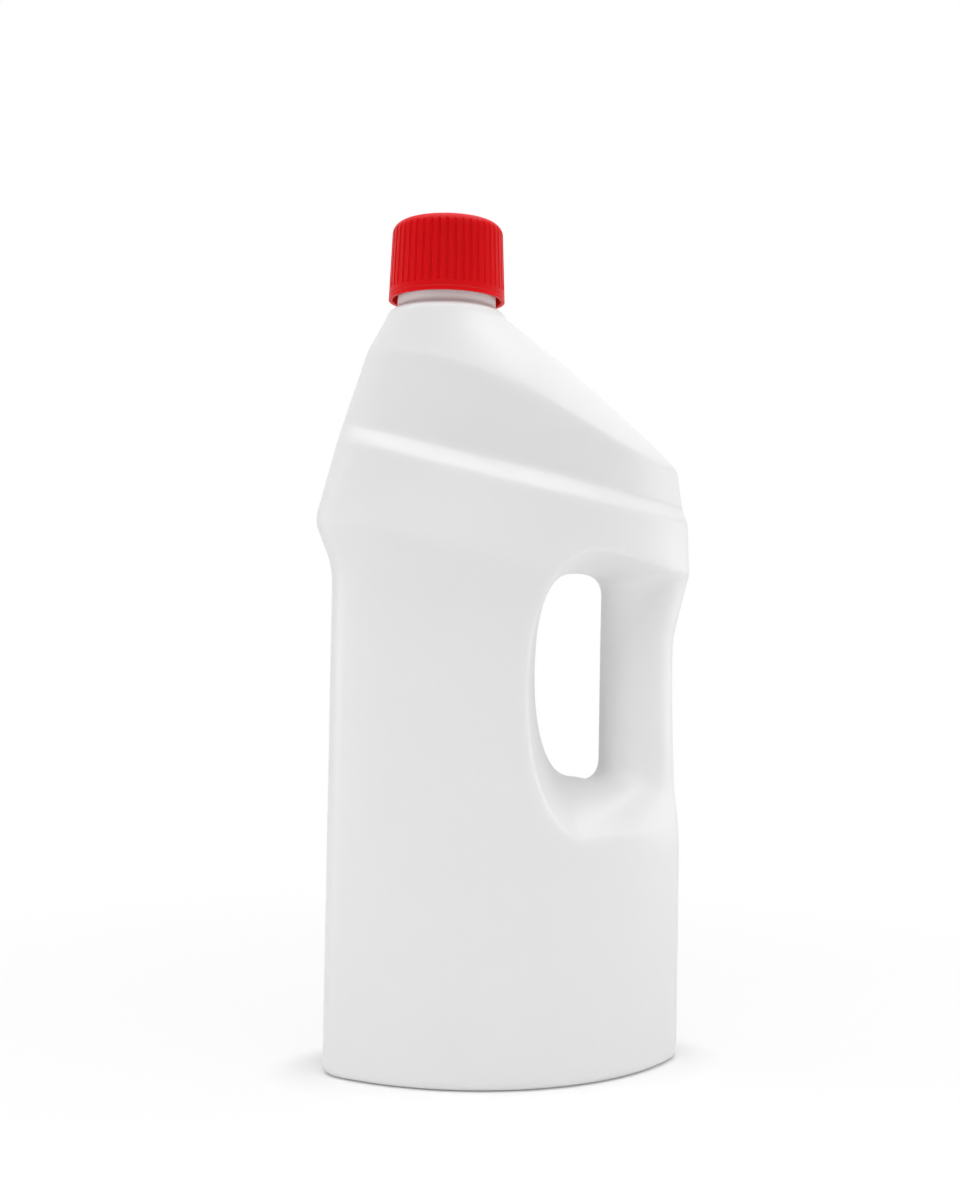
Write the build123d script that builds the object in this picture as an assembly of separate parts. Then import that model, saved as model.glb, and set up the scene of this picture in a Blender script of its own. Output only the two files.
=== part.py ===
from build123d import *
import os
from math import asin, cos, dist, hypot, pi, radians, sin, tan

# Detergent bottle with a hollow grip and a ribbed screw cap, in millimetres.
# The bottle stands on Z = 0, its long side runs along X and the grip is at +X.
# Left and right below are the -X and +X ends of a level of the body.

# Walls
WALL = 1.0
BASE_WALL = 1.6
NECK_WALL = 1.8

# Body plan: two broad arcs joined by two tight ones, the same kind at every level
BODY_CENTRE_X = 1.65
BODY_HALF_WIDTH = 61.3
BODY_HALF_DEPTH = 33.1
BODY_END_RADIUS = 11.4
BASE_EDGE_RADIUS = 3.0
PUSH_UP_DEPTH = 1.5
PUSH_UP_MARGIN = 8.0

# Heights at the left end, each above the level before, and how far each level falls to the right
WAIST_HEIGHT = 165.5
WAIST_FALL = 28.5
UNDERCUT_HEIGHT = 14.8
BELT_FOOT_FALL = 27.7
BELT_HEIGHT = 26.7
BELT_TOP_FALL = 22.5
LEDGE_HEIGHT = 5.7
LEDGE_FALL = 23.9
PANEL_HEIGHT = 24.45
ROOF_FALL = 34.9
SHOULDER_HEIGHT = 12.15

# How far each level stands out past the body's left end, right end and sides
WAIST_RIGHT_OUT = -3.5
BELT_FOOT_LEFT_OUT = 6.15
BELT_FOOT_RIGHT_OUT = 3.15
BELT_FOOT_SIDE_OUT = 2.7
BELT_TOP_LEFT_OUT = -0.75
BELT_TOP_RIGHT_OUT = 1.15
BELT_TOP_SIDE_OUT = 1.9
LEDGE_LEFT_OUT = -2.45
LEDGE_RIGHT_OUT = -0.25
LEDGE_SIDE_OUT = -1.6
ROOF_LEFT_OUT = -10.4
ROOF_RIGHT_OUT = -2.6
ROOF_SIDE_OUT = -2.1

# How far the sides of a level hang below the line between its ends
BELT_FOOT_SAG = 2.2
BELT_TOP_SAG = 5.0
LEDGE_SAG = 3.7

# The roof's edge arches up in front of the neck and hangs towards the grip
ROOF_LEFT_SAG = -7.2
ROOF_RIGHT_SAG = 9.3

# Swell of the roof between its edge and the shoulder
ROOF_RIDGE_BULGE = 1.6
ROOF_SIDE_BULGE = 0.4
ROOF_LEVELS = 8

# Neck and the rounded shoulder at its foot
NECK_FROM_LEFT = 36.85
NECK_RADIUS = 16.5
NECK_HEIGHT = 29.5
SHOULDER_WIDTH = 3.6
SHOULDER_RISE = 3.0
SHOULDER_END_ANGLE = 75.0
SHOULDER_LEVELS = 3

# Roundings along the creases, each given as the distance from the crease to its start
WAIST_EASE = 5.0
BELT_FOOT_EASE = 3.0
BELT_TOP_EASE = 1.2
LEDGE_EASE = 1.2
ROOF_EASE = 1.8
EASE_LEVELS = 4

# Handle bar, set in from the body's right end
HANDLE_INSET = 3.55
HANDLE_WIDTH = 25.1
HANDLE_HALF_DEPTH = 12.0
HANDLE_WAIST_SHARE = 0.676
HANDLE_FOOT_SPREAD = 3.0
HANDLE_HEAD_SPREAD = 5.8
HANDLE_HEAD_OVERLAP = 3.5
HANDLE_ROOT_RADIUS = 6.5
HANDLE_ROOT_SINK = 1.8
HANDLE_ROOT_SWELL = 1.5
HANDLE_ROOT_LEVELS = 5
HANDLE_LEVELS = 8

# Grip opening: an oval throat at the middle that widens to a mouth on each side
THROAT_WIDTH = 25.2
THROAT_BOTTOM_Z = 96.2
THROAT_ABOVE_BELT_FOOT = 12.8
THROAT_WIDEST_SHARE = 0.532
THROAT_TOP_FULLNESS = 0.78
THROAT_FLOOR_FALL = 40.0
THROAT_SOFTNESS = 10.0
GRIP_MIDDLE_FROM_HANDLE = 10.3
GRIP_FULLNESS = 0.62
GRIP_END_OVERRUN = 17.0
GRIP_LEVELS = 11
MOUTH_FLARE = 13.1
MOUTH_FALL = 23.6
MOUTH_RISE = 8.3
MOUTH_WIDEST_SHARE = 0.518
MOUTH_ROOF_FALL = 10.0
MOUTH_OVERRUN = 2.2
RAMP_EDGE_ABOVE_MOUTH = 5.5
RAMP_TOP_INSET = 0.4
RAMP_OVERRUN = 4.0

# Cap
CAP_HEIGHT = 26.0
CAP_CLEARANCE = 0.8
CAP_WALL = 1.3
CAP_DRAFT = 0.9
CAP_TOP_WALL = 1.6
CAP_EDGE_RADIUS = 4.0
CAP_BAND_HEIGHT = 3.2
FLUTE_COUNT = 45
FLUTE_RADIUS = 0.6
FLUTE_DEPTH = 0.45

# Sealing disc
LINER_THICKNESS = 1.2
LINER_CLEARANCE = 0.4


body_left = BODY_CENTRE_X - BODY_HALF_WIDTH
body_right = BODY_CENTRE_X + BODY_HALF_WIDTH
waist_z = WAIST_HEIGHT
belt_foot_z = waist_z + UNDERCUT_HEIGHT
belt_top_z = belt_foot_z + BELT_HEIGHT
ledge_z = belt_top_z + LEDGE_HEIGHT
roof_z = ledge_z + PANEL_HEIGHT
shoulder_z = roof_z + SHOULDER_HEIGHT
neck_top_z = shoulder_z + NECK_HEIGHT
neck_x = body_left + NECK_FROM_LEFT
shoulder_radius = NECK_RADIUS + SHOULDER_WIDTH

handle_right_x = body_right - HANDLE_INSET
handle_left_x = handle_right_x - HANDLE_WIDTH
throat_left_x = handle_left_x - THROAT_WIDTH
grip_middle_x = handle_left_x - GRIP_MIDDLE_FROM_HANDLE
grip_end_x = body_right + GRIP_END_OVERRUN
throat_top_z = belt_foot_z - BELT_FOOT_FALL + THROAT_ABOVE_BELT_FOOT
mouth_bottom_z = THROAT_BOTTOM_Z - MOUTH_FALL
mouth_top_z = throat_top_z + MOUTH_RISE
mouth_reach = BODY_HALF_DEPTH + BELT_FOOT_SIDE_OUT + MOUTH_OVERRUN
handle_low_z = THROAT_BOTTOM_Z - HANDLE_ROOT_SINK
handle_waist_z = THROAT_BOTTOM_Z + HANDLE_WAIST_SHARE * (throat_top_z - THROAT_BOTTOM_Z)

cap_inner_radius = NECK_RADIUS + CAP_CLEARANCE
cap_top_radius = cap_inner_radius + CAP_WALL
cap_rim_radius = cap_top_radius + CAP_DRAFT
cap_top_z = neck_top_z + LINER_THICKNESS + CAP_TOP_WALL
cap_rim_z = cap_top_z - CAP_HEIGHT
cap_edge_z = cap_top_z - CAP_EDGE_RADIUS


def end_arc_half_angle():
    """Half the angle of the body's tight end arcs, from its half width, half depth and end radius."""
    along = BODY_HALF_WIDTH - BODY_END_RADIUS
    across = BODY_HALF_DEPTH - BODY_END_RADIUS
    side = (along ** 2 + BODY_HALF_DEPTH ** 2 - BODY_END_RADIUS ** 2) / (2 * across)
    return pi / 2 - asin(along / (side - BODY_END_RADIUS))


end_half_angle = end_arc_half_angle()


def arc_radii(half_length, half_depth):
    """Radius of the tight end arcs and of the broad side arcs of one level."""
    c = cos(end_half_angle)
    s = sin(end_half_angle)
    end = (half_length * (1 - s) - half_depth * c) / (1 - s - c)
    side = (half_depth * (1 - c) - half_length * s) / (1 - s - c)
    return end, side


def sag_drops(sag, joint_y, end_handle, side_handle):
    """How far a sag lowers the control points of a level's end arc, its joint and its side arc."""
    c = cos(end_half_angle)
    drop = sag / (joint_y ** 2 + 1.5 * joint_y * side_handle * c)
    end_drop = drop * joint_y * (joint_y - 2 * end_handle * c)
    side_drop = drop * joint_y * (joint_y + 2 * side_handle * c)
    return end_drop, drop * joint_y ** 2, side_drop


def level(left, right, half_depth, sags):
    """Closed wire of four tangent arcs from (x, z) left to (x, z) right, with a sag towards each end."""
    dx, dz = right[0] - left[0], right[1] - left[1]
    length = hypot(dx, dz)
    end, side = arc_radii(length / 2, half_depth)
    c = cos(end_half_angle)
    s = sin(end_half_angle)
    joint_s = length / 2 - end + end * c
    joint_y = end * s
    end_handle = 4 / 3 * tan(end_half_angle / 2) * end
    side_handle = 4 / 3 * tan((pi / 2 - end_half_angle) / 2) * side
    drops = {
        -1: sag_drops(sags[0], joint_y, end_handle, side_handle),
        1: sag_drops(sags[1], joint_y, end_handle, side_handle),
    }

    def place(along, across, lower):
        x = (left[0] + right[0]) / 2 + along * dx / length
        z = (left[1] + right[1]) / 2 + along * dz / length
        return (x, across, z - lower)

    def end_arc(sign):
        end_drop, joint_drop, _ = drops[sign]
        return Bezier(
            place(sign * joint_s, -sign * joint_y, joint_drop),
            place(sign * (joint_s + end_handle * s), -sign * (joint_y - end_handle * c), end_drop),
            place(sign * (joint_s + end_handle * s), sign * (joint_y - end_handle * c), end_drop),
            place(sign * joint_s, sign * joint_y, joint_drop),
        )

    def side_arc(sign):
        _, near_joint, near_side = drops[sign]
        _, far_joint, far_side = drops[-sign]
        return Bezier(
            place(sign * joint_s, sign * joint_y, near_joint),
            place(sign * (joint_s - side_handle * s), sign * (joint_y + side_handle * c), near_side),
            place(-sign * (joint_s - side_handle * s), sign * (joint_y + side_handle * c), far_side),
            place(-sign * joint_s, sign * joint_y, far_joint),
        )

    return Wire([end_arc(1), side_arc(1), end_arc(-1), side_arc(-1)])


class Ring:
    """One level of the body: its two ends, half depth and the sags of its sides to the left and right."""

    def __init__(self, left, right, half_depth, sags=(0.0, 0.0)):
        self.left = left
        self.right = right
        self.half_depth = half_depth
        self.sags = sags

    def towards(self, other, share):
        """The level a share of the way from this one to another."""
        def mix(a, b):
            return a + (b - a) * share
        return Ring(
            (mix(self.left[0], other.left[0]), mix(self.left[1], other.left[1])),
            (mix(self.right[0], other.right[0]), mix(self.right[1], other.right[1])),
            mix(self.half_depth, other.half_depth),
            (mix(self.sags[0], other.sags[0]), mix(self.sags[1], other.sags[1])),
        )

    def distance(self, other):
        """Mean distance between the ends of this level and of another."""
        return (dist(self.left, other.left) + dist(self.right, other.right)) / 2

    def wire(self, inset=0.0, lower=0.0):
        left = (self.left[0] + inset, self.left[1] - lower)
        right = (self.right[0] - inset, self.right[1] - lower)
        return level(left, right, self.half_depth - inset, self.sags)


def flat_ring(half_width, z, centre=BODY_CENTRE_X, half_depth=BODY_HALF_DEPTH):
    return Ring((centre - half_width, z), (centre + half_width, z), half_depth)


def sloping_ring(z, fall, left_out, right_out, side_out, left_sag=0.0, right_sag=0.0):
    """A level by its left end's height, its fall to the right and how far it stands out past the body."""
    left = (body_left - left_out, z)
    right = (body_right + right_out, z - fall)
    return Ring(left, right, BODY_HALF_DEPTH + side_out, (left_sag, right_sag))


grip_foot = flat_ring(BODY_HALF_WIDTH, mouth_bottom_z)
waist = sloping_ring(waist_z, WAIST_FALL, 0.0, WAIST_RIGHT_OUT, 0.0)
belt_foot = sloping_ring(belt_foot_z, BELT_FOOT_FALL, BELT_FOOT_LEFT_OUT, BELT_FOOT_RIGHT_OUT,
                         BELT_FOOT_SIDE_OUT, BELT_FOOT_SAG, BELT_FOOT_SAG)
belt_top = sloping_ring(belt_top_z, BELT_TOP_FALL, BELT_TOP_LEFT_OUT, BELT_TOP_RIGHT_OUT,
                        BELT_TOP_SIDE_OUT, BELT_TOP_SAG, BELT_TOP_SAG)
ledge = sloping_ring(ledge_z, LEDGE_FALL, LEDGE_LEFT_OUT, LEDGE_RIGHT_OUT,
                     LEDGE_SIDE_OUT, LEDGE_SAG, LEDGE_SAG)
roof_edge = sloping_ring(roof_z, ROOF_FALL, ROOF_LEFT_OUT, ROOF_RIGHT_OUT,
                         ROOF_SIDE_OUT, ROOF_LEFT_SAG, ROOF_RIGHT_SAG)
shoulder = flat_ring(shoulder_radius, shoulder_z, neck_x, shoulder_radius)


def roof_ring(share):
    """A level of the roof, bulged outwards between the roof edge and the shoulder."""
    ring = roof_edge.towards(shoulder, share)
    bulge = 4 * share * (1 - share)
    run = roof_edge.right[0] - shoulder.right[0]
    rise = shoulder.right[1] - roof_edge.right[1]
    lift = ROOF_RIDGE_BULGE * bulge / hypot(run, rise)
    ring.right = (ring.right[0] + rise * lift, ring.right[1] + run * lift)
    ring.half_depth += ROOF_SIDE_BULGE * bulge
    return ring


def rounding(before, crease, after, ease):
    """Levels along the rounding of a crease between its two neighbouring levels."""
    start = crease.towards(before, ease / crease.distance(before))
    end = crease.towards(after, ease / crease.distance(after))
    levels = []
    for count in range(EASE_LEVELS):
        share = count / (EASE_LEVELS - 1)
        levels.append(start.towards(crease, share).towards(crease.towards(end, share), share))
    return levels


def body_rings():
    """Levels of the body from above the base to the start of the roof."""
    rings = [grip_foot]
    rings += rounding(grip_foot, waist, belt_foot, WAIST_EASE)
    rings += rounding(waist, belt_foot, belt_top, BELT_FOOT_EASE)
    rings += rounding(belt_foot, belt_top, ledge, BELT_TOP_EASE)
    rings += rounding(belt_top, ledge, roof_edge, LEDGE_EASE)
    rings += rounding(ledge, roof_edge, roof_ring(1 / ROOF_LEVELS), ROOF_EASE)
    return rings


def roof_rings():
    """Levels of the roof and the rounded shoulder round the neck."""
    rings = [roof_ring((count + 1) / ROOF_LEVELS) for count in range(ROOF_LEVELS)]
    for count in range(SHOULDER_LEVELS):
        angle = radians(SHOULDER_END_ANGLE * (count + 1) / SHOULDER_LEVELS)
        radius = NECK_RADIUS + SHOULDER_WIDTH * cos(angle)
        rings.append(flat_ring(radius, shoulder_z + SHOULDER_RISE * sin(angle), neck_x, radius))
    return rings


def body_form(inset=0.0, floor=0.0):
    """The whole body below the neck, or drawn in by the wall for its inside."""
    wires = [flat_ring(BODY_HALF_WIDTH, floor).wire(inset)]
    wires += [ring.wire(inset) for ring in body_rings()]
    wires += [ring.wire(inset, inset) for ring in roof_rings()]
    return Solid.make_loft(wires, ruled=True)


def grip_outline(y, grow=0.0):
    """Outline of the grip opening at a distance y from the middle, open past the handle's side."""
    reach = hypot(mouth_reach, THROAT_SOFTNESS) - THROAT_SOFTNESS
    share = (hypot(y, THROAT_SOFTNESS) - THROAT_SOFTNESS) / reach

    def mix(throat, mouth):
        return throat + (mouth - throat) * share

    left = mix(throat_left_x, throat_left_x - MOUTH_FLARE) - grow
    top = mix(throat_top_z, mouth_top_z) + grow
    bottom = mix(THROAT_BOTTOM_Z, mouth_bottom_z) - grow
    widest = bottom + (top - bottom) * mix(THROAT_WIDEST_SHARE, MOUTH_WIDEST_SHARE)
    floor_end = bottom - THROAT_FLOOR_FALL * (1 - share)
    roof_end = top - MOUTH_ROOF_FALL * share
    across = (grip_middle_x - left) * GRIP_FULLNESS
    fullness = mix(THROAT_TOP_FULLNESS, GRIP_FULLNESS)
    third = (grip_end_x - grip_middle_x) / 3
    upper = Bezier((grip_middle_x, y, top), (grip_middle_x - across, y, top),
                   (left, y, widest + (top - widest) * fullness), (left, y, widest))
    lower = Bezier((left, y, widest), (left, y, widest - (widest - bottom) * GRIP_FULLNESS),
                   (grip_middle_x - across, y, bottom), (grip_middle_x, y, bottom))
    floor = Bezier((grip_middle_x, y, bottom), (grip_middle_x + third, y, bottom),
                   (grip_end_x - third, y, floor_end), (grip_end_x, y, floor_end))
    side = Line((grip_end_x, y, floor_end), (grip_end_x, y, roof_end))
    roof = Bezier((grip_end_x, y, roof_end), (grip_end_x - third, y, roof_end),
                  (grip_middle_x + third, y, top), (grip_middle_x, y, top))
    return Wire([upper, lower, floor, side, roof])


def handle_ring(z):
    """Level of the handle bar at a height."""
    flare = max(handle_flare(z - handle_low_z), handle_flare(throat_top_z - z))
    swell = HANDLE_ROOT_SWELL * flare / HANDLE_ROOT_RADIUS
    return Ring((handle_left_x - flare, z), (handle_right(z), z), HANDLE_HALF_DEPTH + swell)


def foot_ramp(inset=0.0):
    """What stays under the grip: a ramp from the handle's foot down to the whole plan of the body."""
    top = handle_ring(handle_low_z)
    edge = flat_ring(BODY_HALF_WIDTH, mouth_bottom_z + RAMP_EDGE_ABOVE_MOUTH)
    past = top.towards(edge, 1 + RAMP_OVERRUN / (top.left[1] - edge.left[1]))
    wires = [past.wire(inset, inset + THROAT_FLOOR_FALL), past.wire(inset, inset)]
    wires.append(top.wire(inset + RAMP_TOP_INSET, inset))
    return Solid.make_loft(wires, ruled=True)


def grip_opening(grow=0.0):
    """The space for the hand, right through the body and out past its right end."""
    step = 2 * mouth_reach / (GRIP_LEVELS - 1)
    depths = [-mouth_reach + step * count for count in range(GRIP_LEVELS)]
    return Solid.make_loft([grip_outline(y, grow) for y in depths]) - foot_ramp(grow)


def handle_flare(height):
    """How far the handle's root spreads at a height above where it meets the body."""
    reach = HANDLE_ROOT_RADIUS - min(max(height, 0.0), HANDLE_ROOT_RADIUS)
    return HANDLE_ROOT_RADIUS - (HANDLE_ROOT_RADIUS ** 2 - reach ** 2) ** 0.5


def handle_heights():
    """Heights of the handle's levels, closest together where its roots spread."""
    turns = [pi / 2 * count / HANDLE_ROOT_LEVELS for count in range(HANDLE_ROOT_LEVELS + 1)]
    rises = [HANDLE_ROOT_RADIUS * (1 - cos(turn)) for turn in turns]
    low = handle_low_z + HANDLE_ROOT_RADIUS
    high = throat_top_z - HANDLE_ROOT_RADIUS
    heights = [mouth_bottom_z]
    heights += [handle_low_z + rise for rise in rises]
    heights += [low + (high - low) * count / HANDLE_LEVELS for count in range(1, HANDLE_LEVELS)]
    heights += [throat_top_z - rise for rise in reversed(rises)]
    return heights + [throat_top_z + WALL + HANDLE_HEAD_OVERLAP]


def handle_right(z):
    """Outer edge of the handle: a slow curve below its waist, a straight flare up to its head."""
    if z < handle_waist_z:
        drop = (handle_waist_z - z) / (handle_waist_z - mouth_bottom_z)
        return handle_right_x + HANDLE_FOOT_SPREAD * drop ** 2
    rise = (z - handle_waist_z) / (throat_top_z - handle_waist_z)
    return handle_right_x + HANDLE_HEAD_SPREAD * (1 - abs(1 - rise))


def handle_bar(inset=0.0):
    """The bar from inside the floor of the grip to inside its roof."""
    wires = []
    for z in handle_heights():
        lower = inset if z < handle_waist_z else -inset
        wires.append(handle_ring(z).wire(inset, lower))
    return Solid.make_loft(wires, ruled=True)


def neck_tube(radius, low, high):
    return Pos(neck_x, 0, (low + high) / 2) * Cylinder(radius, high - low)


def push_up():
    """Shallow hollow under the base that leaves a standing ring round its edge."""
    low = flat_ring(BODY_HALF_WIDTH, -PUSH_UP_DEPTH).wire(PUSH_UP_MARGIN - PUSH_UP_DEPTH)
    high = flat_ring(BODY_HALF_WIDTH, PUSH_UP_DEPTH).wire(PUSH_UP_MARGIN + PUSH_UP_DEPTH)
    return Solid.make_loft([low, high], ruled=True)


def bottle():
    """One blow-moulded piece: hollow body, hollow handle and neck."""
    outside = body_form()
    outside = fillet(outside.edges().group_by(Axis.Z)[0], BASE_EDGE_RADIUS)
    outside = outside - grip_opening() + handle_bar() + neck_tube(NECK_RADIUS, shoulder_z - WALL, neck_top_z)
    inside = body_form(WALL, PUSH_UP_DEPTH + BASE_WALL) - grip_opening(WALL) + handle_bar(WALL)
    inside += neck_tube(NECK_RADIUS - NECK_WALL, shoulder_z - WALL, neck_top_z + WALL)
    return outside - inside - push_up()


def cap_profile_radius(z):
    """Outer radius of the tapered cap wall at a height."""
    return cap_rim_radius - CAP_DRAFT * (z - cap_rim_z) / (cap_edge_z - cap_rim_z)


def cap():
    """Moulded screw cap: tapered skirt, rounded top and flutes that fade into the rounding."""
    top_flat = cap_top_radius - CAP_EDGE_RADIUS
    corner = (top_flat + CAP_EDGE_RADIUS * cos(pi / 4), cap_edge_z + CAP_EDGE_RADIUS * sin(pi / 4))
    wall_top = cap_top_z - CAP_TOP_WALL
    outline = Line((cap_rim_radius, cap_rim_z), (cap_top_radius, cap_edge_z))
    outline += ThreePointArc((cap_top_radius, cap_edge_z), corner, (top_flat, cap_top_z))
    outline += Polyline((top_flat, cap_top_z), (0, cap_top_z), (0, wall_top), (cap_inner_radius, wall_top),
                        (cap_rim_radius - CAP_WALL, cap_rim_z), (cap_rim_radius, cap_rim_z))
    profile = Plane.XZ * make_face(outline)
    body = revolve(profile, Axis.Z)
    flute_foot = cap_rim_z + CAP_BAND_HEIGHT
    foot_radius = cap_profile_radius(flute_foot) + FLUTE_RADIUS - FLUTE_DEPTH
    head_radius = cap_profile_radius(cap_top_z) + FLUTE_RADIUS - FLUTE_DEPTH
    foot = Vector(foot_radius, 0, flute_foot)
    head = Vector(head_radius, 0, cap_top_z)
    flute = Solid.make_cylinder(FLUTE_RADIUS, (head - foot).length, Plane(foot, z_dir=head - foot))
    flutes = [Rot(0, 0, turn * 360 / FLUTE_COUNT) * flute for turn in range(FLUTE_COUNT)]
    return Pos(neck_x, 0, 0) * (body - flutes)


def cap_liner():
    """Foamed sealing disc held under the cap's top and pressed on the neck's lip."""
    radius = cap_inner_radius - LINER_CLEARANCE
    return Pos(neck_x, 0, neck_top_z + LINER_THICKNESS / 2) * Cylinder(radius, LINER_THICKNESS)


os.makedirs("parts", exist_ok=True)
export_step(bottle(), "parts/bottle.step")
export_step(cap(), "parts/cap.step")
export_step(cap_liner(), "parts/cap_liner.step")
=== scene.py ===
import math

import bmesh
import bpy
import numpy as np
from bpy.props import FloatProperty, FloatVectorProperty, IntProperty, PointerProperty
from mathutils import Matrix, Vector


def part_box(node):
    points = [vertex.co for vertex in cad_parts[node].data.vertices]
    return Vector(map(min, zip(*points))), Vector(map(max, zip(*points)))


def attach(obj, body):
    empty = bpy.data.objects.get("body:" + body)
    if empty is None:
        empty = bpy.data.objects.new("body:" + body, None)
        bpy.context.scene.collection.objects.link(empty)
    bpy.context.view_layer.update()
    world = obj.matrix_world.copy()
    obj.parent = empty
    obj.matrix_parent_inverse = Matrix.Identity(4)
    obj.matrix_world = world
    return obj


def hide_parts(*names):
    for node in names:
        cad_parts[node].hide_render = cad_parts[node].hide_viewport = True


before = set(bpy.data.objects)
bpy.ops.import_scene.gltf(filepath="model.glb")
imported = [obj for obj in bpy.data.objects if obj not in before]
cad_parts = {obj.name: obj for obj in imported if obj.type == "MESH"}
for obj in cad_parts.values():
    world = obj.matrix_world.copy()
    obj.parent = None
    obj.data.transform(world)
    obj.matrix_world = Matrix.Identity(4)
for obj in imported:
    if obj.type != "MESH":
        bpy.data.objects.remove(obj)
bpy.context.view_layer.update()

bl_info = {
    "name": "Detergent bottle",
    "version": (1, 0, 0),
    "blender": (4, 5, 0),
    "location": "View3D > Sidebar > Bottle",
    "description": "Dresses the packed detergent bottle with its moulded shell, cap, threads and stage",
    "category": "Object",
}

MM = 0.001
BOTTLE_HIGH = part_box("bottle")[1]
CAP_LOW, CAP_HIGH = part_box("cap")
NECK_X = (CAP_LOW.x + CAP_HIGH.x) / 2
LIP_Z = BOTTLE_HIGH.z

# Outer skin: welding distance, the lip's flat face and the mouth that is opened again
WELD = 0.002 * MM
LIP_BAND = 0.01 * MM
MOUTH_BAND = 0.8 * MM
MOUTH_FACING = 0.7

# Heights and places over which the softening comes in or fades out
NECK_BLEND = (LIP_Z - 29 * MM, LIP_Z - 26 * MM)
BASE_BLEND = (2 * MM, 8 * MM)
GRIP_LEFT_BLEND = (-12 * MM, -2 * MM)
GRIP_LOW_BLEND = (62 * MM, 75 * MM)
GRIP_HIGH_BLEND = (168 * MM, 180 * MM)
EDGE_SOFTENING = 0.25

# The panel's crease: a bent top edge and a leaning left edge that meet in a rounded corner
CREASE_TOP = 219.2 * MM
CREASE_SLOPE = 0.56
CREASE_BEND = 0.004 / MM
CREASE_FOOT_X = -56 * MM
CREASE_FOOT_Z = 212 * MM
CREASE_LEAN = 0.3
CREASE_CORNER = 6.6 * MM
CREASE_REACH_OUT = 17 * MM
CREASE_REACH_IN = 26 * MM
CREASE_FALL = 1.7
CREASE_END_BLEND = (-22 * MM, 8 * MM)
CREASE_SIDE_BLEND = (2 * MM, 11 * MM)

# The ledge's upper edge: a sagging line from the bottle's left end to its right end
LEDGE_HALF = 58 * MM
LEDGE_LEFT = 212.2 * MM
LEDGE_RIGHT = 189.5 * MM
LEDGE_SAG = 3.6 * MM
LEDGE_RISE = 6.2 * MM
LEDGE_REACH = 15 * MM
LEDGE_RIGHT_EXTRA = 0.35
LEDGE_RIGHT_BLEND = (0, 50 * MM)
LEDGE_SIDE_BLEND = (1 * MM, 7 * MM)

# The panel's face, which is smoothed further after the crease is drawn
PANEL_ROUNDS = 60
PANEL_CREASE_BLEND = (2 * MM, 8 * MM)
PANEL_LEDGE_BLEND = (3 * MM, 8 * MM)
PANEL_END_BLEND = (0, 12 * MM)

# Screw threads
THREAD_LEAD = 4.2 * MM
THREAD_STEPS = 96
THREAD_HALF_ROOT = 0.85 * MM
THREAD_HALF_CREST = 0.35 * MM
THREAD_SINK = 0.2 * MM
THREAD_EDGE = 0.12 * MM
THREAD_EDGE_ANGLE = math.radians(25)
CAP_THREAD_ROOT = 17.9 * MM
RUN_OUTS_PER_TURN = 6
LOWEST_RISE = 0.04

# Moulded skin: cells per metre of each noise, and how the marks are cut from the streaks
CLOUD_SCALE = 28.0
RIPPLE_SCALE = 90.0
GRAIN_SCALE = 2600.0
STREAK_SCALE = 900.0
STREAK_STRETCH = (1.0, 1.0, 0.06)
STREAK_TURN = (0.2, 0.35, 0.1)
STREAK_START = 0.66
STREAK_LIMIT = 0.05
STREAK_BLEND = 0.02
RIPPLE_ROUGHNESS = 0.12
RIPPLE_HEIGHT = 0.6
GROOVE_WIDTH = 0.3 * MM

# Floor: its half size, and the distances over which its glow comes in
FLOOR_HALF = 6.0
FLOOR_FADE = (0.12, 0.40)
CONTACT_FADE = (0.064, 0.082)
CONTACT_STRETCH = (1.0, 1.8, 1.0)

# Camera, as fitted to the photograph
CAMERA_PLACE = (-0.14179, -0.49796, 0.14311)
CAMERA_TURN = math.radians(-14.89)
CAMERA_TILT = math.radians(91.39)
CAMERA_ROLL = math.radians(1.01)
CAMERA_NEAR = 0.01


class ShellSettings(bpy.types.PropertyGroup):
    """Sizes and finish of the blow-moulded bottle."""
    colour: FloatVectorProperty(
        name="Colour", description="Colour of the white plastic", subtype="COLOR",
        size=3, min=0, max=1, default=(0.85, 0.85, 0.852))
    roughness: FloatProperty(
        name="Roughness", description="Mean roughness of the satin surface", min=0, max=1, default=0.42)
    voxel: FloatProperty(
        name="Voxel", description="Cell size of the skin before it is smoothed", unit="LENGTH",
        default=0.85 * MM)
    softening: IntProperty(
        name="Softening", description="Smoothing rounds over the whole skin", min=0, default=2)
    mouth_softening: IntProperty(
        name="Grip softening", description="Further smoothing rounds round the grip's mouth", min=0,
        default=6)
    panel_raise: FloatProperty(
        name="Panel raise", description="Rise of the panel's crease under the shoulder", unit="LENGTH",
        default=2.7 * MM)
    ledge_dent: FloatProperty(
        name="Ledge dent", description="Depth of the hollow above the ledge's upper edge", unit="LENGTH",
        default=1.3 * MM)
    wall: FloatProperty(
        name="Wall", description="Wall thickness of the bottle", unit="LENGTH", default=1.0 * MM)
    glow: FloatProperty(
        name="Glow", description="Share of light that passes through the white plastic",
        min=0, max=1, default=0.35)
    seam_width: FloatProperty(
        name="Seam width", description="Width of the mould's parting line", unit="LENGTH", default=0.35 * MM)


class CapSettings(bpy.types.PropertyGroup):
    """Finish of the screw cap and its disc."""
    colour: FloatVectorProperty(
        name="Colour", description="Colour of the red plastic", subtype="COLOR",
        size=3, min=0, max=1, default=(0.77, 0.006, 0.009))
    roughness: FloatProperty(
        name="Roughness", description="Mean roughness of the moulded cap", min=0, max=1, default=0.38)
    glow: FloatProperty(
        name="Glow", description="Share of light that passes through the red plastic",
        min=0, max=1, default=0.6)
    groove_height: FloatProperty(
        name="Groove height", description="Height of the fine groove above the rim", unit="LENGTH",
        default=1.4 * MM)
    disc_colour: FloatVectorProperty(
        name="Disc colour", description="Colour of the foamed sealing disc", subtype="COLOR",
        size=3, min=0, max=1, default=(0.78, 0.76, 0.72))


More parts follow.
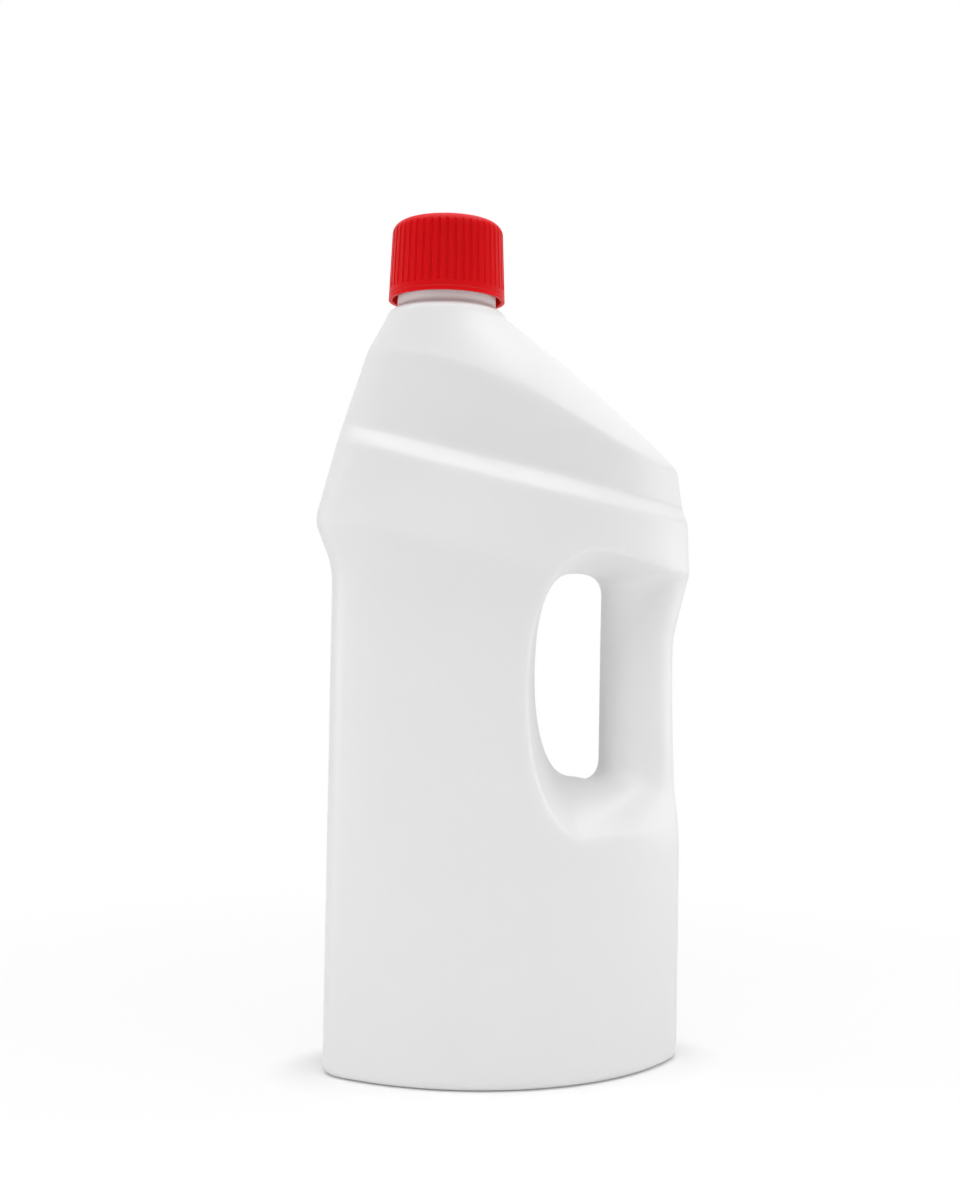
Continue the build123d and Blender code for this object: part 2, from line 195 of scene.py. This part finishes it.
class ThreadSettings(bpy.types.PropertyGroup):
    """Sizes of the screw thread on the neck and in the cap."""
    neck_radius: FloatProperty(
        name="Neck radius", description="Radius of the neck under its thread", unit="LENGTH",
        default=16.5 * MM)
    neck_crest: FloatProperty(
        name="Neck crest", description="Radius of the neck thread's crest", unit="LENGTH", default=17.05 * MM)
    cap_crest: FloatProperty(
        name="Cap crest", description="Radius of the cap thread's crest", unit="LENGTH", default=16.85 * MM)
    turns: FloatProperty(
        name="Turns", description="Turns of each thread", min=0.5, default=1.5)
    top_gap: FloatProperty(
        name="Top gap", description="Distance from the neck's lip down to its thread", unit="LENGTH",
        default=2.6 * MM)


class StageSettings(bpy.types.PropertyGroup):
    """Lights, floor and camera."""
    key_power: FloatProperty(
        name="Overhead light", description="Power of the large overhead light", unit="POWER", default=11.5)
    floor_power: FloatProperty(
        name="Floor light", description="Power of the light over the floor in front", unit="POWER",
        default=2.05)
    front_power: FloatProperty(
        name="Front light", description="Power of the light from the front right", unit="POWER", default=0.7)
    left_power: FloatProperty(
        name="Left light", description="Power of the light on the left end", unit="POWER", default=1.8)
    right_power: FloatProperty(
        name="Right light", description="Power of the light on the right end", unit="POWER", default=1.4)
    world: FloatProperty(
        name="Room light", description="Strength of the light from all sides", min=0, default=0.125)
    shadow_floor: FloatProperty(
        name="Floor glow", description="Share of plain white in the floor near the bottle", min=0, max=1,
        default=0.8)
    contact_floor: FloatProperty(
        name="Contact glow", description="Share of the floor glow that is kept at the bottle's foot",
        min=0, max=1, default=0.1)
    lens: FloatProperty(
        name="Lens", description="Focal length on a 36 mm long side, in millimetres", default=45.89)


def new_group(name, inputs, outputs):
    """An empty shader node group with its sockets, and its two end nodes."""
    group = bpy.data.node_groups.new(name, "ShaderNodeTree")
    for label, kind, default in inputs:
        socket = group.interface.new_socket(label, in_out="INPUT", socket_type=kind)
        socket.default_value = default
    for label, kind in outputs:
        group.interface.new_socket(label, in_out="OUTPUT", socket_type=kind)
    return group, group.nodes.new("NodeGroupInput"), group.nodes.new("NodeGroupOutput")


def maths(tree, operation, *values):
    """A Math node fed by sockets or numbers."""
    node = tree.nodes.new("ShaderNodeMath")
    node.operation = operation
    for index, value in enumerate(values):
        if isinstance(value, bpy.types.NodeSocket):
            tree.links.new(value, node.inputs[index])
        else:
            node.inputs[index].default_value = value
    return node.outputs[0]


def noise(tree, vector, scale, detail=2.0):
    """A noise between nought and one."""
    node = tree.nodes.new("ShaderNodeTexNoise")
    node.inputs["Scale"].default_value = scale
    node.inputs["Detail"].default_value = detail
    tree.links.new(vector, node.inputs["Vector"])
    return node.outputs["Fac"]


def moulded_skin_group():
    """Fine texture, cloudiness and light handling marks of moulded plastic."""
    group, given, made = new_group(
        "Moulded skin",
        [("Colour", "NodeSocketColor", (0.8, 0.8, 0.8, 1)),
         ("Shade", "NodeSocketColor", (0.7, 0.7, 0.7, 1)),
         ("Roughness", "NodeSocketFloat", 0.4),
         ("Grain", "NodeSocketFloat", 0.5),
         ("Marks", "NodeSocketFloat", 0.3)],
        [("Colour", "NodeSocketColor"), ("Roughness", "NodeSocketFloat"), ("Height", "NodeSocketFloat")])
    place = group.nodes.new("ShaderNodeTexCoord").outputs["Object"]
    cloud = noise(group, place, CLOUD_SCALE)
    grain = noise(group, place, GRAIN_SCALE)
    ripple = noise(group, place, RIPPLE_SCALE)
    scratch_space = group.nodes.new("ShaderNodeMapping")
    scratch_space.inputs["Scale"].default_value = STREAK_STRETCH
    scratch_space.inputs["Rotation"].default_value = STREAK_TURN
    group.links.new(place, scratch_space.inputs["Vector"])
    streak = noise(group, scratch_space.outputs["Vector"], STREAK_SCALE, detail=1.0)
    above = maths(group, "MAXIMUM", maths(group, "SUBTRACT", streak, STREAK_START), 0.0)
    scratches = maths(group, "SMOOTH_MIN", above, STREAK_LIMIT, STREAK_BLEND)
    mix = group.nodes.new("ShaderNodeMix")
    mix.data_type = "RGBA"
    group.links.new(cloud, mix.inputs["Factor"])
    group.links.new(given.outputs["Colour"], mix.inputs["A"])
    group.links.new(given.outputs["Shade"], mix.inputs["B"])
    group.links.new(mix.outputs["Result"], made.inputs["Colour"])
    spread = maths(group, "MULTIPLY", maths(group, "SUBTRACT", ripple, 0.5), RIPPLE_ROUGHNESS)
    worn = maths(group, "MULTIPLY", scratches, given.outputs["Marks"])
    rough = maths(group, "ADD", maths(group, "ADD", given.outputs["Roughness"], spread), worn)
    group.links.new(rough, made.inputs["Roughness"])
    fine = maths(group, "MULTIPLY", grain, given.outputs["Grain"])
    height = maths(group, "ADD", fine, maths(group, "MULTIPLY", ripple, RIPPLE_HEIGHT))
    group.links.new(maths(group, "SUBTRACT", height, worn), made.inputs["Height"])
    return group


def parting_line_group():
    """Mask of the raised line that the mould's two halves leave where Y is zero."""
    group, given, made = new_group(
        "Parting line",
        [("Width", "NodeSocketFloat", 0.35 * MM)],
        [("Line", "NodeSocketFloat")])
    place = group.nodes.new("ShaderNodeTexCoord").outputs["Object"]
    split = group.nodes.new("ShaderNodeSeparateXYZ")
    group.links.new(place, split.inputs["Vector"])
    across = maths(group, "DIVIDE", maths(group, "ABSOLUTE", split.outputs["Y"]), given.outputs["Width"])
    line = maths(group, "MAXIMUM", maths(group, "SUBTRACT", 1.0, across), 0.0)
    group.links.new(line, made.inputs["Line"])
    return group


def rim_groove_group():
    """Mask of the fine groove that runs round the band at a height."""
    group, given, made = new_group(
        "Rim groove",
        [("Height", "NodeSocketFloat", 0.0), ("Width", "NodeSocketFloat", GROOVE_WIDTH)],
        [("Line", "NodeSocketFloat")])
    place = group.nodes.new("ShaderNodeTexCoord").outputs["Object"]
    split = group.nodes.new("ShaderNodeSeparateXYZ")
    group.links.new(place, split.inputs["Vector"])
    away = maths(group, "ABSOLUTE", maths(group, "SUBTRACT", split.outputs["Z"], given.outputs["Height"]))
    across = maths(group, "DIVIDE", away, given.outputs["Width"])
    line = maths(group, "MAXIMUM", maths(group, "SUBTRACT", 1.0, across), 0.0)
    group.links.new(line, made.inputs["Line"])
    return group


def group_named(name, build):
    """The node group of that name, built where the file has none yet."""
    return bpy.data.node_groups.get(name) or build()


def plastic(name, colour, shade, roughness, grain, marks, bump, specular=0.5):
    """A Principled material whose colour, roughness and bump come from the moulded skin group."""
    material = bpy.data.materials.new(name)
    material.use_nodes = True
    tree = material.node_tree
    shader = tree.nodes["Principled BSDF"]
    shader.inputs["IOR"].default_value = 1.5
    shader.inputs["Specular IOR Level"].default_value = specular
    node = tree.nodes.new("ShaderNodeGroup")
    node.node_tree = group_named("Moulded skin", moulded_skin_group)
    node.inputs["Colour"].default_value = (*colour, 1)
    node.inputs["Shade"].default_value = (*(part * shade for part in colour), 1)
    node.inputs["Roughness"].default_value = roughness
    node.inputs["Grain"].default_value = grain
    node.inputs["Marks"].default_value = marks
    tree.links.new(node.outputs["Colour"], shader.inputs["Base Color"])
    tree.links.new(node.outputs["Roughness"], shader.inputs["Roughness"])
    relief = tree.nodes.new("ShaderNodeBump")
    relief.inputs["Distance"].default_value = bump
    tree.links.new(node.outputs["Height"], relief.inputs["Height"])
    tree.links.new(relief.outputs["Normal"], shader.inputs["Normal"])
    return material


def add_line(material, line, rise, **sizes):
    """Adds a line's mask to a material's bump height."""
    tree = material.node_tree
    relief = next(node for node in tree.nodes if node.type == "BUMP")
    height = relief.inputs["Height"].links[0].from_socket
    node = tree.nodes.new("ShaderNodeGroup")
    node.node_tree = line
    for label, size in sizes.items():
        node.inputs[label].default_value = size
    total = maths(tree, "ADD", height, maths(tree, "MULTIPLY", node.outputs["Line"], rise))
    tree.links.new(total, relief.inputs["Height"])


def glow_through(material, weight, reach, tint):
    """Lets light pass through thin walls of a material."""
    shader = material.node_tree.nodes["Principled BSDF"]
    shader.inputs["Subsurface Weight"].default_value = weight
    shader.inputs["Subsurface Scale"].default_value = reach
    shader.inputs["Subsurface Radius"].default_value = tint


def dress(piece, material):
    """Gives a piece one material."""
    piece.data.materials.clear()
    piece.data.materials.append(material)


def link(name, mesh):
    """A new object of the scene that holds a mesh."""
    piece = bpy.data.objects.new(name, mesh)
    bpy.context.scene.collection.objects.link(piece)
    return piece


def shade_smooth(piece):
    for polygon in piece.data.polygons:
        polygon.use_smooth = True


def outer_skin(source):
    """A closed copy of a hollow node's outside: the lip is opened, the inside dropped, the neck filled."""
    work = bmesh.new()
    work.from_mesh(source.data)
    bmesh.ops.remove_doubles(work, verts=work.verts, dist=WELD)
    lip = [face for face in work.faces if all(vert.co.z > LIP_Z - LIP_BAND for vert in face.verts)]
    bmesh.ops.delete(work, geom=lip, context="FACES_ONLY")
    start = max(work.verts, key=lambda vert: abs(vert.co.x))
    found, front = {start}, [start]
    while front:
        vert = front.pop()
        for edge in vert.link_edges:
            other = edge.other_vert(vert)
            if other not in found:
                found.add(other)
                front.append(other)
    bmesh.ops.delete(work, geom=[vert for vert in work.verts if vert not in found], context="VERTS")
    rim = [edge for edge in work.edges if edge.is_boundary]
    bmesh.ops.holes_fill(work, edges=rim, sides=0)
    bmesh.ops.recalc_face_normals(work, faces=work.faces)
    mesh = bpy.data.meshes.new("outer_skin")
    work.to_mesh(mesh)
    work.free()
    return mesh


def apply_modifiers(piece):
    """Replaces the piece's mesh by the one that its modifiers make."""
    graph = bpy.context.evaluated_depsgraph_get()
    mesh = bpy.data.meshes.new_from_object(piece.evaluated_get(graph))
    old = piece.data
    piece.modifiers.clear()
    piece.data = mesh
    bpy.data.meshes.remove(old)


def points_of(mesh):
    """The places of a mesh's vertices, one row each."""
    points = np.empty(len(mesh.vertices) * 3)
    mesh.vertices.foreach_get("co", points)
    return points.reshape(-1, 3)


def soften(mesh, rounds, weight):
    """Moves each vertex towards the mean of its neighbours, as far as its weight says."""
    points = points_of(mesh)
    ends = np.empty(len(mesh.edges) * 2, int)
    mesh.edges.foreach_get("vertices", ends)
    a, b = ends.reshape(-1, 2).T
    count = np.bincount(a, minlength=len(points)) + np.bincount(b, minlength=len(points))
    for _ in range(rounds):
        total = np.zeros_like(points)
        for axis in range(3):
            total[:, axis] += np.bincount(a, points[b, axis], len(points))
            total[:, axis] += np.bincount(b, points[a, axis], len(points))
        points += (total / count[:, None] - points) * (0.5 * weight)[:, None]
    mesh.vertices.foreach_set("co", points.ravel())
    mesh.update()


def ramp(value, low, high):
    """A smooth step from nought at the low end to one at the high end."""
    t = np.clip((value - low) / (high - low), 0, 1)
    return t * t * (3 - 2 * t)


def outside_crease(x, z):
    """Distance in the X-Z plane from the panel's crease, positive above it and to its left."""
    slope = CREASE_SLOPE + 2 * CREASE_BEND * x
    over = (z - CREASE_TOP + CREASE_SLOPE * x + CREASE_BEND * x * x) / np.hypot(1, slope)
    lean = math.hypot(1, CREASE_LEAN)
    beside = (CREASE_FOOT_X + CREASE_LEAN * (z - CREASE_FOOT_Z) - x) / lean
    along = (z - CREASE_FOOT_Z + CREASE_LEAN * (x - CREASE_FOOT_X)) / lean
    beside = np.copysign(np.hypot(beside, along.clip(None, 0)), beside)
    corner = np.hypot((over + CREASE_CORNER).clip(0), (beside + CREASE_CORNER).clip(0))
    return corner + (np.maximum(over, beside) + CREASE_CORNER).clip(None, 0) - CREASE_CORNER


def ledge_edge(x):
    """Height of the ledge's upper edge, level beyond both of its ends."""
    share = np.clip(x / LEDGE_HALF, -1, 1)
    middle = (LEDGE_LEFT + LEDGE_RIGHT) / 2
    return middle + share * (LEDGE_RIGHT - LEDGE_LEFT) / 2 - LEDGE_SAG * (1 - share * share)


def crease(mesh, panel_raise, ledge_dent):
    """Draws the panel's crease out and hollows the face above the ledge, on both sides of the bottle."""
    points = points_of(mesh)
    x, y, z = points.T
    out = outside_crease(x, z)
    lift = np.where(out > 0, 1 - out / CREASE_REACH_OUT, 1 + out / CREASE_REACH_IN).clip(0)
    lift[out > 0] **= CREASE_FALL
    lift *= panel_raise * (1 - ramp(x, *CREASE_END_BLEND))
    up = z - ledge_edge(x)
    dent = np.where(up > 0, 1 - up / LEDGE_REACH, 1 + up / LEDGE_RISE).clip(0) * ledge_dent
    dent *= 1 + LEDGE_RIGHT_EXTRA * ramp(x, *LEDGE_RIGHT_BLEND)
    side = np.abs(y)
    move = lift * ramp(side, *CREASE_SIDE_BLEND) - dent * ramp(side, *LEDGE_SIDE_BLEND)
    points[:, 1] += np.sign(y) * move
    mesh.vertices.foreach_set("co", points.ravel())
    mesh.update()
    in_panel = ramp(-out, *PANEL_CREASE_BLEND) * ramp(up, *PANEL_LEDGE_BLEND)
    in_panel *= 1 - ramp(x, *PANEL_END_BLEND)
    soften(mesh, PANEL_ROUNDS, in_panel)


def helix_ridge(name, root, crest, low, turns):
    """A tapered helical ridge round the neck's axis, right-handed, closed at both ends."""
    count = int(THREAD_STEPS * turns)
    work = bmesh.new()
    rows = []
    for index in range(count + 1):
        share = index / count
        fade = min(1.0, share * turns * RUN_OUTS_PER_TURN, (1 - share) * turns * RUN_OUTS_PER_TURN)
        fade = math.sin(fade * math.pi / 2)
        angle = share * turns * 2 * math.pi
        z = low + share * turns * THREAD_LEAD
        top = root + (crest - root) * max(fade, LOWEST_RISE)
        half_crest = THREAD_HALF_CREST * fade
        profile = (
            (root, -THREAD_HALF_ROOT), (top, -half_crest), (top, half_crest), (root, THREAD_HALF_ROOT))
        row = []
        for radius, rise in profile:
            place = (NECK_X + radius * math.cos(angle), radius * math.sin(angle), z + rise)
            row.append(work.verts.new(place))
        rows.append(row)
    for first, second in zip(rows, rows[1:]):
        for k in range(4):
            n = (k + 1) % 4
            work.faces.new((first[k], second[k], second[n], first[n]))
    work.faces.new(rows[0])
    work.faces.new(reversed(rows[-1]))
    bmesh.ops.recalc_face_normals(work, faces=work.faces)
    mesh = bpy.data.meshes.new(name)
    work.to_mesh(mesh)
    work.free()
    piece = link(name, mesh)
    bevel = piece.modifiers.new("Rounded edges", "BEVEL")
    bevel.width = THREAD_EDGE
    bevel.segments = 2
    bevel.limit_method = "ANGLE"
    bevel.angle_limit = THREAD_EDGE_ANGLE
    apply_modifiers(piece)
    shade_smooth(piece)
    return piece


def shape_skin(mesh, settings):
    """Softens the remeshed skin, more at the grip, and then draws its crease and ledge."""
    x, _, z = points_of(mesh).T
    below_neck = 1 - ramp(z, *NECK_BLEND)
    above_base = ramp(z, *BASE_BLEND)
    soften(mesh, settings.softening, EDGE_SOFTENING + (1 - EDGE_SOFTENING) * below_neck * above_base)
    in_grip = ramp(x, *GRIP_LEFT_BLEND) * ramp(z, *GRIP_LOW_BLEND)
    in_grip *= 1 - ramp(z, *GRIP_HIGH_BLEND)
    soften(mesh, settings.mouth_softening, in_grip)
    crease(mesh, settings.panel_raise, settings.ledge_dent)


def open_mouth(mesh):
    """Takes away the faces that close the neck's mouth."""
    work = bmesh.new()
    work.from_mesh(mesh)
    top = [face for face in work.faces
           if face.calc_center_median().z > LIP_Z - MOUTH_BAND and face.normal.z > MOUTH_FACING]
    bmesh.ops.delete(work, geom=top, context="FACES")
    work.to_mesh(mesh)
    work.free()


class BOTTLE_OT_shell(bpy.types.Operator):
    """Builds the softened skin of the blow-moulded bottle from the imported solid"""
    bl_idname = "bottle.shell"
    bl_label = "Bottle shell"

    def execute(self, context):
        settings = context.scene.bottle_shell
        piece = link("bottle_shell", outer_skin(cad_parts["bottle"]))
        cells = piece.modifiers.new("Cells", "REMESH")
        cells.mode = "VOXEL"
        cells.voxel_size = settings.voxel
        apply_modifiers(piece)
        shape_skin(piece.data, settings)
        open_mouth(piece.data)
        wall = piece.modifiers.new("Wall", "SOLIDIFY")
        wall.thickness = settings.wall
        wall.offset = -1
        apply_modifiers(piece)
        shade_smooth(piece)
        material = plastic(
            "White polyethylene", tuple(settings.colour), shade=0.985, roughness=settings.roughness,
            grain=0.35, marks=0.25, bump=0.02 * MM)
        seam = group_named("Parting line", parting_line_group)
        add_line(material, seam, rise=2.0, Width=settings.seam_width)
        glow_through(material, settings.glow, reach=2.0 * MM, tint=(1.0, 1.0, 1.0))
        dress(piece, material)
        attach(piece, "bottle")
        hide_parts("bottle")
        return {"FINISHED"}


class BOTTLE_OT_neck_thread(bpy.types.Operator):
    """Builds the screw thread on the neck"""
    bl_idname = "bottle.neck_thread"
    bl_label = "Neck thread"

    def execute(self, context):
        settings = context.scene.bottle_threads
        low = LIP_Z - settings.top_gap - settings.turns * THREAD_LEAD
        root = settings.neck_radius - THREAD_SINK
        piece = helix_ridge("neck_thread", root, settings.neck_crest, low, settings.turns)
        dress(piece, bpy.data.materials["White polyethylene"])
        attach(piece, "bottle")
        return {"FINISHED"}


class BOTTLE_OT_cap(bpy.types.Operator):
    """Gives the ribbed cap its red plastic and builds the thread inside it"""
    bl_idname = "bottle.cap"
    bl_label = "Screw cap"

    def execute(self, context):
        settings = context.scene.bottle_cap
        threads = context.scene.bottle_threads
        material = plastic(
            "Red polypropylene", tuple(settings.colour), shade=0.94, roughness=settings.roughness,
            grain=0.25, marks=0.6, bump=0.02 * MM, specular=0.06)
        groove = group_named("Rim groove", rim_groove_group)
        groove_z = CAP_LOW.z + settings.groove_height
        add_line(material, groove, rise=-8.0, Height=groove_z, Width=GROOVE_WIDTH)
        glow_through(material, settings.glow, reach=3.0 * MM, tint=(1.0, 0.15, 0.15))
        dress(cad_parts["cap"], material)
        low = LIP_Z - threads.top_gap - threads.turns * THREAD_LEAD - THREAD_LEAD / 2
        piece = helix_ridge("cap_thread", CAP_THREAD_ROOT, threads.cap_crest, low, threads.turns)
        dress(piece, material)
        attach(piece, "cap")
        return {"FINISHED"}


class BOTTLE_OT_liner(bpy.types.Operator):
    """Gives the sealing disc its foamed finish"""
    bl_idname = "bottle.liner"
    bl_label = "Sealing disc"

    def execute(self, context):
        settings = context.scene.bottle_cap
        material = plastic(
            "Foamed disc", tuple(settings.disc_colour), shade=0.9, roughness=0.75,
            grain=1.0, marks=0.1, bump=0.06 * MM)
        dress(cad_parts["cap_liner"], material)
        return {"FINISHED"}


def area_light(name, place, target, size, power):
    """A rectangular lamp at a place, turned to a target."""
    data = bpy.data.lights.new(name, "AREA")
    data.shape = "RECTANGLE"
    data.size, data.size_y = size
    data.energy = power
    lamp = link(name, data)
    lamp.location = place
    lamp.rotation_euler = (Vector(target) - Vector(place)).to_track_quat("-Z", "Y").to_euler()


def seen_ray(tree):
    """One where the camera, a reflection or a transmission sees the surface."""
    path = tree.nodes.new("ShaderNodeLightPath").outputs
    glossy = maths(tree, "MAXIMUM", path["Is Camera Ray"], path["Is Glossy Ray"])
    return maths(tree, "MAXIMUM", glossy, path["Is Transmission Ray"])


def distance_share(tree, vector, reach, least):
    """A share that grows smoothly with a vector's length, from a least value up to one."""
    away = tree.nodes.new("ShaderNodeVectorMath")
    away.operation = "LENGTH"
    tree.links.new(vector, away.inputs[0])
    share = tree.nodes.new("ShaderNodeMapRange")
    share.interpolation_type = "SMOOTHSTEP"
    share.inputs["From Min"].default_value, share.inputs["From Max"].default_value = reach
    share.inputs["To Min"].default_value = least
    tree.links.new(away.outputs["Value"], share.inputs["Value"])
    return share.outputs["Result"]


def floor_material(settings):
    """A white floor that takes the bottle's shadow and glows to plain white away from it."""
    material = bpy.data.materials.new("White floor")
    material.use_nodes = True
    tree = material.node_tree
    diffuse = tree.nodes["Principled BSDF"]
    diffuse.inputs["Base Color"].default_value = (0.92, 0.92, 0.92, 1)
    diffuse.inputs["Roughness"].default_value = 0.9
    diffuse.inputs["Specular IOR Level"].default_value = 0.0
    glow = tree.nodes.new("ShaderNodeEmission")
    mix = tree.nodes.new("ShaderNodeMixShader")
    place = tree.nodes.new("ShaderNodeTexCoord").outputs["Object"]
    fade = distance_share(tree, place, FLOOR_FADE, settings.shadow_floor)
    stretched = tree.nodes.new("ShaderNodeVectorMath")
    stretched.operation = "MULTIPLY"
    stretched.inputs[1].default_value = CONTACT_STRETCH
    tree.links.new(place, stretched.inputs[0])
    contact = distance_share(tree, stretched.outputs["Vector"], CONTACT_FADE, settings.contact_floor)
    share = maths(tree, "MULTIPLY", fade, contact)
    tree.links.new(maths(tree, "MULTIPLY", seen_ray(tree), share), mix.inputs["Fac"])
    tree.links.new(diffuse.outputs["BSDF"], mix.inputs[1])
    tree.links.new(glow.outputs["Emission"], mix.inputs[2])
    tree.links.new(mix.outputs["Shader"], tree.nodes["Material Output"].inputs["Surface"])
    return material


def make_floor(settings):
    """The flat floor under the bottle."""
    work = bmesh.new()
    bmesh.ops.create_grid(work, x_segments=8, y_segments=8, size=FLOOR_HALF)
    mesh = bpy.data.meshes.new("floor")
    work.to_mesh(mesh)
    work.free()
    floor = link("floor", mesh)
    dress(floor, floor_material(settings))


def make_room(settings):
    """A room that looks plain white and lights the bottle less."""
    world = bpy.data.worlds.new("Room")
    bpy.context.scene.world = world
    world.use_nodes = True
    tree = world.node_tree
    background = tree.nodes["Background"]
    strength = maths(tree, "MAXIMUM", seen_ray(tree), settings.world)
    background.inputs["Color"].default_value = (1, 1, 1, 1)
    tree.links.new(strength, background.inputs["Strength"])


def make_lights(settings):
    """The five lamps round the bottle."""
    middle = (0, 0, 0.12)
    area_light("overhead", place=(0.0, -0.10, 1.1), target=(0, 0, 0.1), size=(1.2, 1.0),
               power=settings.key_power)
    area_light("floor front", place=(-0.15, -0.55, 0.35), target=(-0.15, -0.55, 0), size=(0.8, 0.3),
               power=settings.floor_power)
    area_light("front right", place=(0.9, -0.45, 0.25), target=middle, size=(0.8, 0.5),
               power=settings.front_power)
    area_light("left end", place=(-0.8, 0.15, 0.15), target=middle, size=(0.5, 0.4),
               power=settings.left_power)
    area_light("right end", place=(0.8, 0.1, 0.15), target=middle, size=(0.5, 0.4),
               power=settings.right_power)


def make_camera(settings):
    """The camera that sees the bottle as the photograph does."""
    scene = bpy.context.scene
    data = bpy.data.cameras.new("camera")
    data.lens = settings.lens
    data.clip_start = CAMERA_NEAR
    camera = link("camera", data)
    turn = Matrix.Rotation(CAMERA_TURN, 4, "Z")
    tilt = Matrix.Rotation(CAMERA_TILT, 4, "X")
    roll = Matrix.Rotation(CAMERA_ROLL, 4, "Z")
    camera.matrix_world = Matrix.Translation(CAMERA_PLACE) @ turn @ tilt @ roll
    scene.camera = camera
    scene.view_settings.view_transform = "Standard"


class BOTTLE_OT_stage(bpy.types.Operator):
    """Makes the floor, the lights, the room light and the camera"""
    bl_idname = "bottle.stage"
    bl_label = "Stage"

    def execute(self, context):
        settings = context.scene.bottle_stage
        make_floor(settings)
        make_room(settings)
        make_lights(settings)
        make_camera(settings)
        return {"FINISHED"}


class BOTTLE_PT_panel(bpy.types.Panel):
    """Lists the bottle's pieces and settings"""
    bl_idname = "BOTTLE_PT_panel"
    bl_label = "Detergent bottle"
    bl_space_type = "VIEW_3D"
    bl_region_type = "UI"
    bl_category = "Bottle"

    def draw(self, context):
        for operator in OPERATORS:
            self.layout.operator(operator.bl_idname)
        for name in SETTINGS:
            box = self.layout.box()
            group = getattr(context.scene, name)
            for label in group.__annotations__:
                box.prop(group, label)


OPERATORS = (BOTTLE_OT_shell, BOTTLE_OT_neck_thread, BOTTLE_OT_cap, BOTTLE_OT_liner, BOTTLE_OT_stage)
SETTINGS = {
    "bottle_shell": ShellSettings,
    "bottle_cap": CapSettings,
    "bottle_threads": ThreadSettings,
    "bottle_stage": StageSettings,
}


def register():
    for name, group in SETTINGS.items():
        bpy.utils.register_class(group)
        setattr(bpy.types.Scene, name, PointerProperty(type=group))
    for operator in OPERATORS:
        bpy.utils.register_class(operator)
    bpy.utils.register_class(BOTTLE_PT_panel)


def unregister():
    bpy.utils.unregister_class(BOTTLE_PT_panel)
    for operator in reversed(OPERATORS):
        bpy.utils.unregister_class(operator)
    for name, group in SETTINGS.items():
        delattr(bpy.types.Scene, name)
        bpy.utils.unregister_class(group)


def main():
    register()
    bpy.ops.bottle.stage()
    bpy.ops.bottle.shell()
    bpy.ops.bottle.neck_thread()
    bpy.ops.bottle.cap()
    bpy.ops.bottle.liner()


if __name__ == "__main__":
    main()
